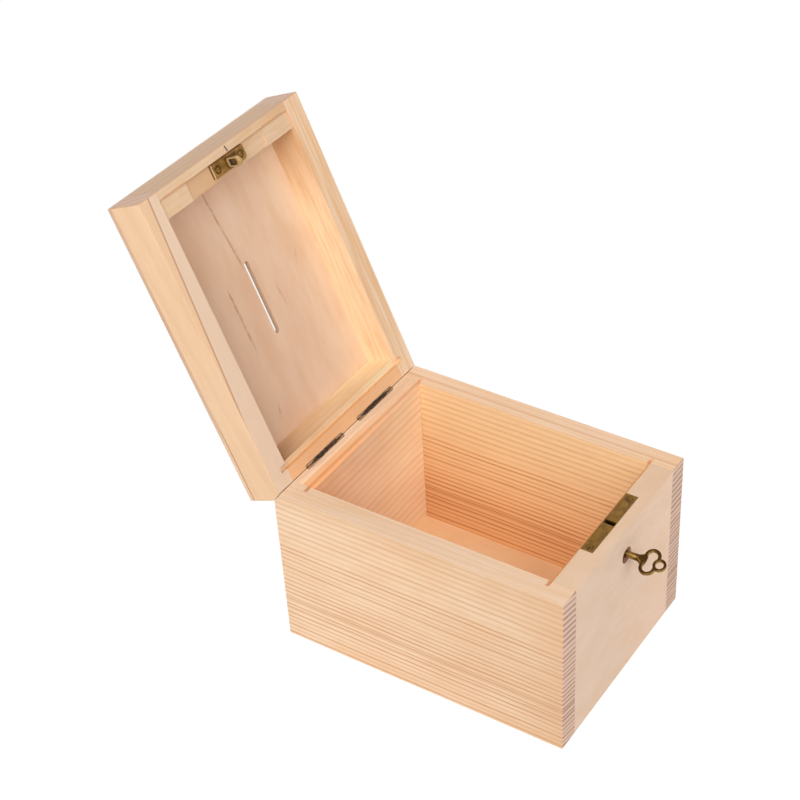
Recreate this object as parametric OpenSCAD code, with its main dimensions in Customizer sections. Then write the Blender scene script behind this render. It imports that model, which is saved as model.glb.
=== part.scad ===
// Wooden money box with a coin slot in its lid, slot-in hinges and a mortised box lock with its key.
// Sizes are millimetres. The origin is the centre of the underside, the front faces -Y and +Z is up.
// The lid is drawn closed and is then turned about the hinge line to its open stop.

/* [Base] */
// Clear width between the side boards
inner_width = 90; // [80:1:160]
// Clear length between the front and the back board
inner_length = 122; // [90:1:220]
// Height of the base without the lid
base_height = 87; // [50:1:150]
// Thickness of the side boards
side_thickness = 11; // [8:0.5:18]
// Thickness of the front and back boards
end_thickness = 13; // [12:0.5:20]
// Thickness of the bottom panel
bottom_thickness = 3; // [2:0.5:6]
// How far the bottom panel is let into the boards
bottom_let_in = 5; // [2:0.5:7]
// Flat sanded along the outer edges
arris = 0.4; // [0.2:0.1:1]

/* [Base rebates] */
// Width of the ledges along the front and back rims
base_ledge_width = 1.8; // [1:0.1:2.5]
// Depth of those ledges
base_ledge_depth = 2.5; // [1.5:0.1:5]
// How far the ledges run on into the side boards
base_ledge_run = 3.5; // [1:0.5:6]

/* [Lid] */
// Height of the lid with its top panel
lid_height = 20; // [18:0.5:40]
// Thickness of the top panel
panel_thickness = 2.5; // [2:0.5:5]
// Gap between the closed lid and the base
seam_gap = 0.3; // [0.2:0.05:0.5]
// Length of the coin slot
coin_slot_length = 37; // [25:1:60]
// Width of the coin slot
coin_slot_width = 3; // [2:0.5:6]
// Width of the ledge along the back of the lid
lid_back_ledge_width = 3; // [1:0.5:4]
// Depth of that ledge
lid_back_ledge_depth = 2; // [1:0.5:4]
// How far that ledge runs on into the side boards
lid_back_ledge_run = 3.9; // [1:0.1:6]
// Width of the ledge along the front of the lid
lid_front_ledge_width = 9; // [8.6:0.1:10]
// Depth of that ledge
lid_front_ledge_depth = 1; // [0.5:0.1:1.5]
// Length of the pocket for the strike in that ledge
pocket_length = 54; // [30:1:70]

/* [Hinges] */
// Angle at which the open lid meets its stop
open_angle = 113; // [95:1:120]
// Gap left between the two stop bevels when open
stop_gap = 0.3; // [0.2:0.05:0.5]
// Distance of the hinge line from the back face
hinge_inset = 3.5; // [3:0.1:5]
// Distance between the middles of the two hinges
hinge_spacing = 41; // [34:1:46]
// Length of each hinge
hinge_length = 28; // [20:1:30]
// Outside diameter of the hinge knuckles
knuckle_diameter = 2.2; // [2:0.1:3]
// Diameter of the hinge pins
hinge_pin_diameter = 1; // [0.8:0.1:1.2]
// Thickness of the hinge leaves
leaf_thickness = 0.7; // [0.5:0.1:0.9]
// How deep the leaves go into the wood from the hinge line
leaf_drop = 12; // [8:0.5:14]

/* [Lock] */
// Length of the face plate
plate_length = 42.5; // [41:0.5:50]
// Width of the face plate
plate_width = 6.1; // [5.9:0.1:7]
// Thickness of the face plate
plate_thickness = 1.2; // [0.8:0.1:1.6]
// Length of the lock case
case_length = 31; // [30:0.5:32]
// Height of the lock case below the face plate
case_height = 20.4; // [20:0.1:26]
// Depth of the lock case from cap to back
case_depth = 5; // [4.6:0.1:5.4]
// Thickness of the sheet that the case is made of
case_sheet = 0.7; // [0.5:0.1:0.8]
// Thickness of the bolt
bolt_thickness = 1.6; // [1.2:0.1:2]
// Height of the bolt nose
nose_height = 3.3; // [2.6:0.1:3.4]
// Diameter of the case pillars
pillar_diameter = 1.5; // [1.2:0.1:1.7]
// Distance between the screws of the face plate
plate_screw_spacing = 36.4; // [36:0.1:38]
// Diameter of the screws' shanks
screw_diameter = 1.8; // [1.4:0.1:2]
// Diameter of the screws' heads
screw_head_diameter = 3.2; // [2.6:0.1:3.6]
// Length of the screws
screw_length = 9; // [6:0.5:10]

/* [Strike] */
// Length of the strike plate
strike_length = 22.3; // [21:0.1:26]
// Width of the strike plate
strike_width = 6.5; // [6:0.1:6.8]
// Thickness of the strike plate
strike_thickness = 1.6; // [0.8:0.1:2]
// How far the face of the strike plate lies behind the rim of the lid
strike_set_back = 0.2; // [0:0.1:0.6]
// Sideways place of the strike plate from its eye
strike_offset = 0.5; // [-1:0.1:1]
// Radius of the strike plate's one rounded corner
strike_corner = 1.8; // [0.5:0.1:2.5]
// Distance between the screws of the strike plate
strike_screw_spacing = 15.8; // [14:0.1:17]
// How far the eye stands out of the strike plate
eye_reach = 7.9; // [7.6:0.1:8.9]
// Width of the eye
eye_width = 4.4; // [4:0.1:4.8]
// Thickness of the eye
eye_thickness = 1.5; // [1:0.1:1.8]
// Width of the hole in the eye
eye_hole_width = 2.6; // [2.6:0.1:3]
// Wall of the eye beyond its hole
eye_tip_wall = 2.1; // [1:0.1:2.4]

/* [Key] */
// Sideways place of the key from the middle of the lock
key_x = 1.2; // [-0.5:0.1:2]
// Height of the key's axis below the rim
key_below_rim = 15.4; // [15.2:0.1:16.5]
// Diameter of the hole in the front board
keyhole_diameter = 8; // [6:0.1:9]
// How far the middle of that hole lies below the key's axis
keyhole_drop = 0.9; // [0:0.1:1.2]
// Diameter of the key's shank
shank_diameter = 3.2; // [2.4:0.1:3.4]
// Diameter of the pivot at the tip of the shank
pivot_diameter = 2.4; // [1.6:0.1:2.6]
// Reach of the bit from the key's axis
bit_reach = 3.8; // [3.5:0.1:3.9]
// Thickness of the bit
bit_thickness = 1.4; // [1:0.1:1.5]
// Turn of the key from withdrawn to thrown
key_swing = 140; // [130:1:150]
// Length of the shank outside the front face
shank_outside = 5.8; // [4:0.1:10]
// Thickness of the bow
bow_thickness = 1.8; // [1.4:0.1:2.6]
// Radius of the two large lobes of the bow
lobe_radius = 3.9; // [3.6:0.1:4.4]
// Radius of the holes in those lobes
lobe_hole_radius = 2.4; // [2:0.1:2.7]
// Distance of the lobes' middles from the key's axis
lobe_offset = 2.9; // [2.5:0.1:3.2]
// Distance of the lobes' middles from the end of the shank
lobe_distance = 5.6; // [5:0.1:7]
// Width of the waist between the two holes
bow_waist = 3.9; // [2:0.1:4.2]
// Distance of the end ring's middle from the lobes'
ring_distance = 4.6; // [4.4:0.1:5.2]
// Radius of the small ring at the end of the bow
ring_radius = 3.2; // [3:0.1:3.8]
// Radius of the hole in that ring
ring_hole_radius = 1.8; // [1.4:0.1:2]

/* [Hidden] */
$fn = 64;

// Overshoot of a cut past the face that it opens
over = 1;
// Running clearance of a pin or shank in its bore
running = 0.05;
// Side clearance of the bolt on its pillar and under the face plate
bolt_play = 0.15;
// Clearance of the bit, the eye and the shank from the bolt
mechanism_gap = 0.35;

// Outside sizes and the main planes
outer_width = inner_width + 2*side_thickness;
outer_length = inner_length + 2*end_thickness;
front_y = -outer_length/2;
back_y = outer_length/2;
inner_front_y = -inner_length/2;
inner_back_y = inner_length/2;
lid_z = base_height + seam_gap;
lid_frame_top = lid_z + lid_height - panel_thickness;
lid_top = lid_z + lid_height;

// Hinge line and knuckles
hinge_y = back_y - hinge_inset;
hinge_z = base_height + seam_gap/2;
knuckle_radius = knuckle_diameter/2;
knuckle_count = 5;
knuckle_pitch = hinge_length/knuckle_count;
knuckle_gap = 0.1;
knuckle_clearance = 0.2;
recess_radius = knuckle_radius + knuckle_clearance;
leaf_top = recess_radius;
barb_pitch = 2.4;
barb_depth = 0.7;

// Lock: its middle plane, the key's axis and the case
lock_y = inner_front_y - base_ledge_width - plate_width/2;
key_z = base_height - key_below_rim;
case_top = base_height - plate_thickness;
case_bottom = case_top - case_height;
case_front = lock_y - case_depth/2;
case_back = lock_y + case_depth/2;
mortise_gap = 0.2;
pillar_radius = pillar_diameter/2;
pillar_wall_gap = 0.6;
pillar_margin = case_sheet + pillar_radius + pillar_wall_gap;
screw_radius = screw_diameter/2;
head_radius = screw_head_diameter/2;
screw_slot_width = 0.6;
screw_slot_depth = 0.5;

// Strike: in the closed lid, looking up from the base
pocket_z = lid_z + max(lid_front_ledge_depth, strike_set_back + strike_thickness);
strike_z = pocket_z - strike_thickness;
strike_screw_x = [strike_offset - strike_screw_spacing/2, strike_offset + strike_screw_spacing/2];
eye_tip_z = strike_z - eye_reach;
eye_slot_gap = 0.5;
nose_hole_gap = 0.3;
eye_slot_side_gap = 0.55;
eye_slot_half = eye_thickness/2 + eye_slot_side_gap;
eye_shoulder = 0.8;
eye_tenon_width = eye_width - 2*eye_shoulder;

// Key and bolt: the bolt stands withdrawn and the key is turned by half its swing
shank_radius = shank_diameter/2;
rest_turn = key_swing/2;
bit_lap = 0.6;
bit_end_gap = 0.3;
bolt_throw = 2*(bit_reach - bit_lap)*sin(rest_turn);
nose_top = case_top - bolt_play;
nose_bottom = nose_top - nose_height;
nose_rest_gap = 0.95;
nose_tip = eye_thickness/2 + nose_rest_gap;
nose_chamfer = 0.5;
tail_left = eye_thickness/2 + mechanism_gap + bolt_throw;
tail_end_gap = 0.3;
tail_right = case_length/2 - case_sheet - tail_end_gap;
eye_tip_gap = 0.5;
web_top = eye_tip_z - eye_tip_gap;
talon_play = 0.8;
talon_half = bit_thickness/2 + talon_play;
talon_middle = key_x + bolt_throw/2;
talon_top = key_z + bit_reach + mechanism_gap;
leg_width = 2;
leg_bottom = key_z + shank_radius + mechanism_gap;
guide_offset = 1;
guide_x = talon_middle + talon_half + guide_offset;
guide_z = (web_top + talon_top)/2;

// Bow spring between the cap and the bolt's tail
spring_sheet = 0.25;
spring_chord = 7;
spring_height = 2.4;
spring_gap = 0.05;
spring_rise = (case_depth - bolt_thickness)/2 - case_sheet - spring_sheet - spring_gap;
spring_radius = (spring_chord*spring_chord/4 + spring_rise*spring_rise)/(2*spring_rise);
spring_x = (tail_left + tail_right - bolt_throw)/2;
spring_z = (nose_bottom + web_top)/2;

// Bow of the key, measured outwards from the front face
lobe_out = shank_outside + lobe_distance;
ring_out = lobe_out + ring_distance;
bow_ease = 0.3;

// Colours
side_wood = "#dfb88f";
end_wood = "#e8c8a4";
panel_wood = "#dcb596";
old_brass = "#8a6d35";
bright_brass = "#a88745";
steel = "#9a9a96";

// Box between two corners
module block(low, high) {
    translate(low) cube(high - low);
}

// Cylinder along X, between x0 and x1
module rod_x(radius, x0, x1) {
    translate([x0, 0, 0]) rotate([0, 90, 0]) cylinder(h = x1 - x0, r = radius);
}

// Cylinder along Y, between y0 and y1
module rod_y(radius, y0, y1) {
    translate([0, y1, 0]) rotate([90, 0, 0]) cylinder(h = y1 - y0, r = radius);
}

// Outline in the YZ plane, drawn as (y, z), given a thickness along X about the middle
module plate_yz(thickness) {
    rotate([90, 0, 90]) linear_extrude(thickness, center = true) children();
}

// Outline in the XZ plane, drawn as (x, z), given a thickness along Y from y0 to y1
module plate_xz(y0, y1) {
    translate([0, y1, 0]) rotate([90, 0, 0]) linear_extrude(y1 - y0) children();
}

// Rectangle about the origin with its corners cut at 45 degrees
module eased_rectangle(width, length, cut) {
    polygon([[cut - width/2, -length/2], [width/2 - cut, -length/2],
        [width/2, cut - length/2], [width/2, length/2 - cut],
        [width/2 - cut, length/2], [cut - width/2, length/2],
        [-width/2, length/2 - cut], [-width/2, cut - length/2]]);
}

// Block standing on z = 0 with a flat sanded on all its edges
module eased_block(size, cut) {
    translate([0, 0, size.z/2]) intersection() {
        linear_extrude(size.z, center = true) eased_rectangle(size.x, size.y, cut);
        plate_yz(size.x) eased_rectangle(size.y, size.z, cut);
        plate_xz(-size.y/2, size.y/2) eased_rectangle(size.x, size.z, cut);
    }
}

module base_outside() {
    eased_block([outer_width, outer_length, base_height], arris);
}

module lid_outside() {
    translate([0, 0, lid_z]) eased_block([outer_width, outer_length, lid_height], arris);
}

// Turns what is drawn on the closed lid to the open stop
module on_open_lid() {
    translate([0, hinge_y, hinge_z]) rotate([-open_angle, 0, 0])
        translate([0, -hinge_y, -hinge_z]) children();
}

// Wedge taken off the back edge, side 1 for the base and -1 for the lid: each takes half the angle
module stop_bevel(side) {
    depth = 3*hinge_inset;
    translate([0, hinge_y, hinge_z]) rotate([-side*open_angle/2, 0, 0])
        translate([-outer_width, -depth, side > 0 ? -stop_gap/2 : stop_gap/2 - depth])
            cube([2*outer_width, 2*depth, depth]);
}

// Recess for the knuckles and kerf for the leaf of each hinge, side 1 for the base and -1 for the lid
module hinge_cuts(side) {
    for (x = [-hinge_spacing/2, hinge_spacing/2]) translate([x, hinge_y, hinge_z]) {
        rod_x(recess_radius, -hinge_length/2 - mortise_gap, hinge_length/2 + mortise_gap);
        translate([-hinge_length/2, -leaf_thickness/2, side > 0 ? -leaf_drop : 0])
            cube([hinge_length, leaf_thickness, leaf_drop]);
    }
}

// Panel that closes the underside, also the cut that seats it
module bottom_slab(below) {
    block([-inner_width/2 - bottom_let_in, inner_front_y - bottom_let_in, -below],
        [inner_width/2 + bottom_let_in, inner_back_y + bottom_let_in, bottom_thickness]);
}

// Stopped ledges along the inner edges of the front and back rims
module base_ledges() {
    x = inner_width/2 + base_ledge_run;
    z = base_height - base_ledge_depth;
    block([-x, inner_front_y - base_ledge_width, z], [x, inner_front_y, base_height + over]);
    block([-x, inner_back_y, z], [x, inner_back_y + base_ledge_width, base_height + over]);
}

// Board of the base between two corners, with the cuts that all of them share
module base_board(low, high) {
    difference() {
        intersection() {
            block(low, high);
            base_outside();
        }
        bottom_slab(over);
        base_ledges();
        stop_bevel(1);
    }
}

module left_side_board() {
    color(side_wood) base_board([-outer_width/2, front_y, 0], [-inner_width/2, back_y, base_height]);
}

module right_side_board() {
    color(side_wood) base_board([inner_width/2, front_y, 0], [outer_width/2, back_y, base_height]);
}

module front_board() {
    color(end_wood) difference() {
        base_board([-inner_width/2, front_y, 0], [inner_width/2, inner_front_y, base_height]);
        faceplate_slab(over);
        block([-case_length/2 - mortise_gap, case_front - mortise_gap, case_bottom - mortise_gap],
            [case_length/2 + mortise_gap, case_back + mortise_gap, base_height]);
        translate([key_x, 0, key_z - keyhole_drop]) rod_y(keyhole_diameter/2, front_y - over, case_front);
        for (x = [-plate_screw_spacing/2, plate_screw_spacing/2])
            translate([x, lock_y, base_height - screw_length]) cylinder(h = screw_length, r = screw_radius);
    }
}

module back_board() {
    color(end_wood) difference() {
        base_board([-inner_width/2, inner_back_y, 0], [inner_width/2, back_y, base_height]);
        hinge_cuts(1);
    }
}

module bottom_panel() {
    color(panel_wood) bottom_slab(0);
}

// Countersunk slotted screw standing head up, with the top of its head at z = 0
module screw() {
    cone = head_radius - screw_radius;
    difference() {
        rotate_extrude() polygon([[0, 0], [head_radius, 0], [screw_radius, -cone],
            [screw_radius, screw_radius - screw_length], [0, -screw_length]]);
        translate([-head_radius - over, -screw_slot_width/2, -screw_slot_depth])
            cube([2*(head_radius + over), screw_slot_width, screw_slot_depth + over]);
    }
}

// Countersunk hole that the screw fills, through a plate of the given thickness below z = 0
module screw_hole(thickness) {
    cone = head_radius - screw_radius;
    rotate_extrude() polygon([[0, over], [head_radius, over], [head_radius, 0], [screw_radius, -cone],
        [screw_radius, -thickness - over], [0, -thickness - over]]);
}

// Space of the face plate, also the cut that lets it into the rim
module faceplate_slab(above) {
    block([-plate_length/2, lock_y - plate_width/2, base_height - plate_thickness],
        [plate_length/2, lock_y + plate_width/2, base_height + above]);
}

module lock_faceplate() {
    slot_y = eye_width/2 + eye_slot_gap;
    color(old_brass) difference() {
        faceplate_slab(0);
        block([-eye_slot_half, lock_y - slot_y, case_top - over],
            [eye_slot_half, lock_y + slot_y, base_height + over]);
        for (x = [-plate_screw_spacing/2, plate_screw_spacing/2])
            translate([x, lock_y, base_height]) screw_hole(plate_thickness);
    }
}

// Places of the case pillars: three corners, and the one that the bolt slides on
pillar_places = [
    [-case_length/2 + pillar_margin, case_bottom + pillar_margin],
    [case_length/2 - pillar_margin, case_bottom + pillar_margin],
    [-case_length/2 + pillar_margin, case_top - 2*pillar_margin],
    [guide_x, guide_z]];

module pillars() {
    for (p = pillar_places) translate([p.x, 0, p.y]) rod_y(pillar_radius, case_front, case_back);
}

// Notch in the upper edges of the case and its cap that lets the eye of the strike in
module eye_way() {
    block([-eye_slot_half, case_front - over, web_top], [eye_slot_half, case_back + over, case_top + over]);
}

// Tray of the lock: its back and three walls, closed above by the face plate
module lock_case() {
    color(bright_brass) difference() {
        block([-case_length/2, case_front + case_sheet, case_bottom],
            [case_length/2, case_back, case_top]);
        block([case_sheet - case_length/2, case_front, case_bottom + case_sheet],
            [case_length/2 - case_sheet, case_back - case_sheet, case_top + over]);
        pillars();
        eye_way();
        translate([key_x, 0, key_z]) rod_y(pivot_diameter/2 + running, lock_y, case_back + over);
    }
}

// Cap of the lock, with a keyhole whose slot lets the bit in when it points down
module lock_cap() {
    slot_half = bit_thickness/2 + mechanism_gap/2;
    color(bright_brass) difference() {
        block([-case_length/2, case_front, case_bottom], [case_length/2, case_front + case_sheet, case_top]);
        pillars();
        eye_way();
        translate([key_x, 0, key_z]) {
            rod_y(shank_radius + running, case_front - over, lock_y);
            block([-slot_half, case_front - over, -bit_reach - mechanism_gap], [slot_half, lock_y, 0]);
        }
    }
}

module lock_pillars() {
    color(steel) pillars();
}

// Outline of the hook bolt: nose, tail, web and the two legs of the talon
module bolt_outline() {
    polygon([[nose_tip, nose_top - nose_chamfer], [nose_tip + nose_chamfer, nose_top],
        [tail_right, nose_top], [tail_right, leg_bottom],
        [talon_middle + talon_half, leg_bottom], [talon_middle + talon_half, talon_top],
        [talon_middle - talon_half, talon_top], [talon_middle - talon_half, leg_bottom],
        [talon_middle - talon_half - leg_width, leg_bottom],
        [talon_middle - talon_half - leg_width, web_top],
        [tail_left, web_top], [tail_left, nose_bottom],
        [nose_tip + nose_chamfer, nose_bottom], [nose_tip, nose_bottom + nose_chamfer]]);
}

module lock_bolt() {
    slot_radius = pillar_radius + bolt_play/2;
    color(bright_brass) difference() {
        plate_xz(lock_y - bolt_thickness/2, lock_y + bolt_thickness/2) bolt_outline();
        for (x = [guide_x, guide_x + bolt_throw])
            translate([x, lock_y, guide_z]) rod_y(slot_radius, -bolt_thickness, bolt_thickness);
        block([guide_x, lock_y - bolt_thickness, guide_z - slot_radius],
            [guide_x + bolt_throw, lock_y + bolt_thickness, guide_z + slot_radius]);
    }
}

// Strip bent to an arc: its ends bear on the cap and its middle on the bolt's tail
module bolt_spring() {
    arc_y = case_front + case_sheet + spring_rise + spring_sheet - spring_radius;
    color(steel) translate([spring_x, arc_y, spring_z - spring_height/2])
        linear_extrude(spring_height) intersection() {
            difference() {
                circle(spring_radius, $fn = 256);
                circle(spring_radius - spring_sheet, $fn = 256);
            }
            translate([-spring_chord/2, spring_radius - spring_rise - spring_sheet])
                square([spring_chord, 2*spring_rise + spring_sheet]);
        }
}

module lock_screws() {
    color(old_brass) for (x = [-plate_screw_spacing/2, plate_screw_spacing/2])
        translate([x, lock_y, base_height]) screw();
}

// Outline of the key's bow as (y, z) from the front face, drawn in by inset all round
module bow_outline(inset) {
    difference() {
        union() {
            for (side = [-1, 1]) translate([-lobe_out, side*lobe_offset]) circle(lobe_radius - inset);
            translate([-ring_out, 0]) circle(ring_radius - inset);
            polygon([[-shank_outside, inset - shank_radius], [-shank_outside, shank_radius - inset],
                [-lobe_out, lobe_offset], [-lobe_out, -lobe_offset]]);
        }
        for (side = [-1, 1]) translate([-lobe_out, side*lobe_offset]) circle(lobe_hole_radius + inset);
        translate([-lobe_out - bow_waist/2 - inset, -lobe_offset])
            square([bow_waist + 2*inset, 2*lobe_offset]);
        translate([-ring_out, 0]) circle(ring_hole_radius + inset);
    }
}

// Key in the lock: shank, pivot, bit and bow, with the bit and the bow in one plane
module key() {
    bit_front = case_front + case_sheet + bit_end_gap - front_y;
    bit_back = case_back - case_sheet - bit_end_gap - front_y;
    color(old_brass) translate([key_x, front_y, key_z]) rotate([0, rest_turn, 0]) {
        rod_y(shank_radius, -shank_outside - over, bit_back);
        rod_y(pivot_diameter/2, bit_back, case_back - front_y);
        block([-bit_thickness/2, bit_front, 0], [bit_thickness/2, bit_back, bit_reach]);
        plate_yz(bow_thickness - 2*bow_ease) bow_outline(0);
        plate_yz(bow_thickness) bow_outline(bow_ease);
    }
}

// Leaf of a hinge below the hinge line, its two ends cut into barbs
module leaf_outline() {
    barbs = floor((leaf_drop - leaf_top)/barb_pitch);
    half = hinge_length/2;
    function edge(side) = [for (i = [0 : barbs - 1]) each [
        [side*half, -leaf_top - i*barb_pitch], [side*(half - barb_depth), -leaf_top - (i + 1)*barb_pitch]]];
    right = edge(1);
    left = edge(-1);
    polygon(concat(right, [[half - 2*barb_depth, -leaf_drop], [2*barb_depth - half, -leaf_drop]],
        [for (i = [len(left) - 1 : -1 : 0]) left[i]]));
}

// One half of a hinge with its leaf hanging down; first is 0 for the outer knuckles and 1 for the others
module hinge_half(first, bore_radius) {
    start = -hinge_length/2;
    difference() {
        union() {
            plate_xz(-leaf_thickness/2, leaf_thickness/2) leaf_outline();
            for (i = [first : 2 : knuckle_count - 1]) {
                x0 = start + i*knuckle_pitch + knuckle_gap/2;
                x1 = x0 + knuckle_pitch - knuckle_gap;
                rod_x(knuckle_radius, x0, x1);
                block([x0, -leaf_thickness/2, -leaf_top], [x1, leaf_thickness/2, 0]);
            }
        }
        rod_x(bore_radius, start - over, hinge_length/2 + over);
    }
}

module hinge_base_leaf(x) {
    color(old_brass) translate([x, hinge_y, hinge_z]) hinge_half(0, hinge_pin_diameter/2);
}

module hinge_lid_leaf(x) {
    color(old_brass) on_open_lid() translate([x, hinge_y, hinge_z]) rotate([180, 0, 0])
        hinge_half(1, hinge_pin_diameter/2 + running);
}

module hinge_pin(x) {
    color(steel) translate([x, hinge_y, hinge_z])
        rod_x(hinge_pin_diameter/2, -hinge_length/2 + knuckle_gap/2, hinge_length/2 - knuckle_gap/2);
}

module hinge_base_leaf_left() {
    hinge_base_leaf(-hinge_spacing/2);
}

module hinge_base_leaf_right() {
    hinge_base_leaf(hinge_spacing/2);
}

module hinge_pin_left() {
    hinge_pin(-hinge_spacing/2);
}

module hinge_pin_right() {
    hinge_pin(hinge_spacing/2);
}

module hinge_lid_leaf_left() {
    hinge_lid_leaf(-hinge_spacing/2);
}

module hinge_lid_leaf_right() {
    hinge_lid_leaf(hinge_spacing/2);
}

// Board of the lid frame between two corners of the closed lid, with its stop bevel and back ledge
module lid_board(low, high) {
    x = inner_width/2 + lid_back_ledge_run;
    difference() {
        intersection() {
            block(low, high);
            lid_outside();
        }
        block([-x, inner_back_y, lid_z - over],
            [x, inner_back_y + lid_back_ledge_width, lid_z + lid_back_ledge_depth]);
        stop_bevel(-1);
    }
}

module lid_left_board() {
    color(side_wood) on_open_lid()
        lid_board([-outer_width/2, front_y, lid_z], [-inner_width/2, back_y, lid_frame_top]);
}

module lid_right_board() {
    color(side_wood) on_open_lid()
        lid_board([inner_width/2, front_y, lid_z], [outer_width/2, back_y, lid_frame_top]);
}

module lid_front_board() {
    ledge_y = inner_front_y - lid_front_ledge_width;
    color(end_wood) on_open_lid() difference() {
        lid_board([-inner_width/2, front_y, lid_z], [inner_width/2, inner_front_y, lid_frame_top]);
        block([-inner_width/2, ledge_y, lid_z - over],
            [inner_width/2, inner_front_y, lid_z + lid_front_ledge_depth]);
        block([-pocket_length/2, ledge_y, lid_z - over], [pocket_length/2, inner_front_y, pocket_z]);
        for (x = strike_screw_x)
            translate([x, lock_y, pocket_z]) cylinder(h = screw_length - strike_thickness, r = screw_radius);
    }
}

module lid_back_board() {
    color(end_wood) on_open_lid() difference() {
        lid_board([-inner_width/2, inner_back_y, lid_z], [inner_width/2, back_y, lid_frame_top]);
        hinge_cuts(-1);
    }
}

module lid_panel() {
    half = (coin_slot_length - coin_slot_width)/2;
    color(panel_wood) on_open_lid() difference() {
        intersection() {
            block([-outer_width/2, front_y, lid_frame_top], [outer_width/2, back_y, lid_top]);
            lid_outside();
        }
        block([-coin_slot_width/2, -half, lid_frame_top - over],
            [coin_slot_width/2, half, lid_top + over]);
        for (y = [-half, half]) translate([0, y, lid_frame_top - over])
            cylinder(h = panel_thickness + 2*over, r = coin_slot_width/2);
    }
}

module strike_plate() {
    x = strike_length/2;
    y = strike_width/2;
    color(old_brass) on_open_lid() translate([0, lock_y, strike_z]) difference() {
        translate([strike_offset, 0, 0]) linear_extrude(strike_thickness) difference() {
            square([strike_length, strike_width], center = true);
            difference() {
                translate([x - strike_corner, y - strike_corner]) square(strike_corner + over);
                translate([x - strike_corner, y - strike_corner]) circle(strike_corner);
            }
        }
        block([-eye_thickness/2, -eye_tenon_width/2, -over],
            [eye_thickness/2, eye_tenon_width/2, strike_thickness + over]);
        for (s = strike_screw_x)
            translate([s, 0, 0]) rotate([180, 0, 0]) screw_hole(strike_thickness);
    }
}

// Eye of the strike: a tenon through the plate, and a loop with a round end that the bolt passes through
module strike_eye() {
    tip = eye_width/2 - eye_reach;
    hole_round = eye_hole_width/2;
    hole_low = eye_tip_wall + hole_round - eye_reach;
    hole_high = nose_top + nose_hole_gap - strike_z;
    color(bright_brass) on_open_lid() translate([0, lock_y, strike_z])
        plate_yz(eye_thickness) difference() {
            union() {
                translate([-eye_tenon_width/2, 0]) square([eye_tenon_width, strike_thickness]);
                translate([-eye_width/2, tip]) square([eye_width, -tip]);
                translate([0, tip]) circle(eye_width/2);
            }
            translate([0, hole_low]) circle(hole_round);
            translate([-hole_round, hole_low]) square([eye_hole_width, hole_high - hole_low]);
        }
}

module strike_screws() {
    color(old_brass) on_open_lid() for (x = strike_screw_x)
        translate([x, lock_y, strike_z]) rotate([180, 0, 0]) screw();
}

left_side_board();
right_side_board();
front_board();
back_board();
bottom_panel();
lock_faceplate();
lock_case();
lock_cap();
lock_pillars();
lock_bolt();
bolt_spring();
lock_screws();
key();
hinge_base_leaf_left();
hinge_base_leaf_right();
hinge_pin_left();
hinge_pin_right();
lid_left_board();
lid_right_board();
lid_front_board();
lid_back_board();
lid_panel();
strike_plate();
strike_eye();
strike_screws();
hinge_lid_leaf_left();
hinge_lid_leaf_right();
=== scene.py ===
# %% [markdown]
# # A pine money box
# The solid model already has every board, hinge and lock part at its real size. This lesson dresses it:
# the wood gets its growth rings, the brass its patina, the key a rounded bow, and then come the floor, the
# light and the camera.

# %% Load the solids and keep their box
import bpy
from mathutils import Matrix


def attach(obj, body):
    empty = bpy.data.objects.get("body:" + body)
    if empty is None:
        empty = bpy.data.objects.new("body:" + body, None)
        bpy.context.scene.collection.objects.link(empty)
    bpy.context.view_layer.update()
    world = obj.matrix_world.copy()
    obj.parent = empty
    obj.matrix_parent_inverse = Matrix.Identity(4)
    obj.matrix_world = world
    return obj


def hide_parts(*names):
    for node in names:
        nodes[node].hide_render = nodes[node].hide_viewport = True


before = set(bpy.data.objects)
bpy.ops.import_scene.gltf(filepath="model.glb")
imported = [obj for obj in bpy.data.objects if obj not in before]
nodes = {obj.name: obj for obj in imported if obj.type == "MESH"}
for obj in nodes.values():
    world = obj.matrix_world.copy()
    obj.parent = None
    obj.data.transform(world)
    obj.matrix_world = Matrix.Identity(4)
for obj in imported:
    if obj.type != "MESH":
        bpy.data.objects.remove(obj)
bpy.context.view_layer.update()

from math import cos, pi, radians, sin

import bmesh
import bpy
import numpy as np
from mathutils import Matrix, Vector

MM = 0.001

# %% [markdown]
# ## Shader sums written as Python
# A node tree of a wood finish has a hundred nodes, and nobody can read that as a list of links. So one
# small class holds a socket. Python's own operators on it add Math nodes, and `node` adds any other node:
# its settings first, because some of them change its sockets, and then the values or links.

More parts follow.
